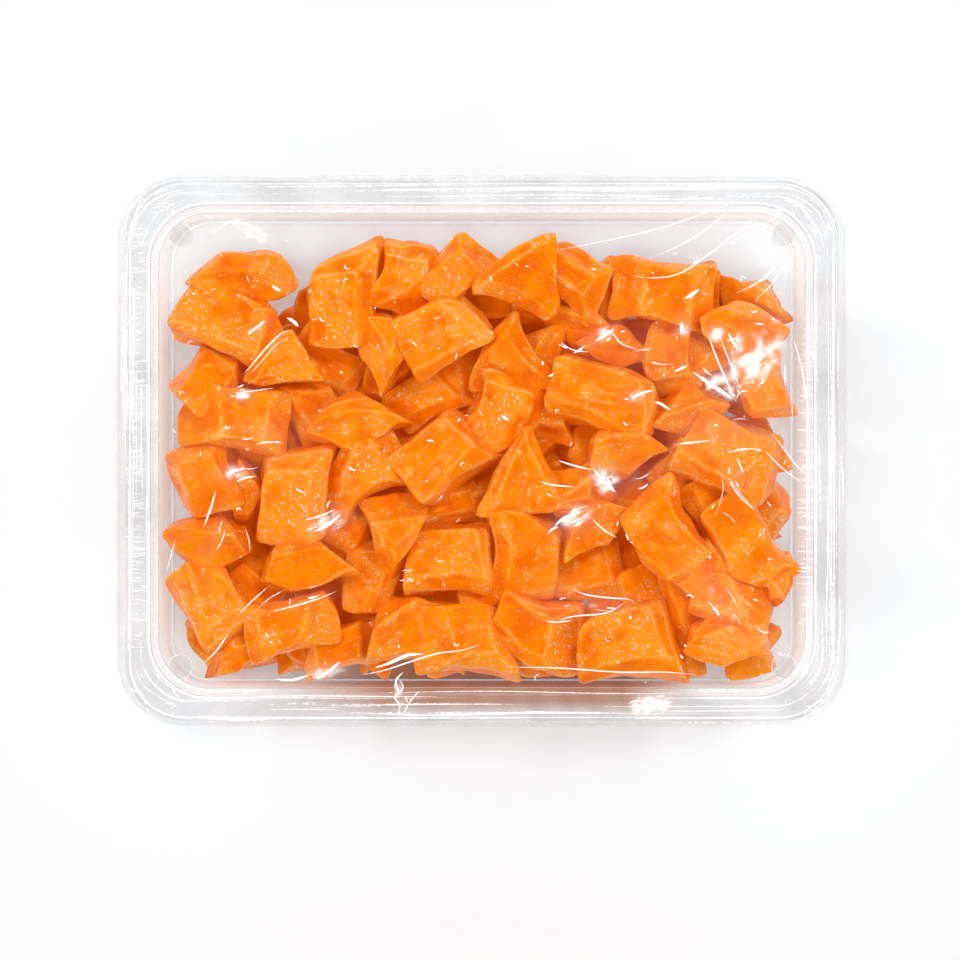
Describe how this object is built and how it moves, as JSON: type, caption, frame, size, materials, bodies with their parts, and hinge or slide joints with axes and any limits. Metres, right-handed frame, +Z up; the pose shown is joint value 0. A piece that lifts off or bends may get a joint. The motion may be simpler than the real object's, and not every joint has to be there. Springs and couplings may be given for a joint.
{
  "type": "pack of orange hard candy",
  "caption": "Flat retail pack of orange hard candy: a heap of cut, frosted pieces in a clear moulded tray closed by a stretched clear film.",
  "frame": {"origin": "centre of the pack's bounding box seen from above, on the surface the pack lies on", "axes": "+X along the pack's length, +Y across it towards the side where the heap leaves a strip of the tray's floor bare, +Z up towards the film"},
  "size_m": [0.19, 0.1436, 0.0404],
  "materials": {
    "clear_tray": "clear thermoformed plastic",
    "clear_film": "clear stretched film, creased",
    "orange_candy": "boiled sugar, translucent, its surface frosted and scratched"
  },
  "bodies": {
    "root": {"tray": "clear_tray", "film": "clear_film", "candy_heap": "orange_candy"}
  },
  "joints": []
}
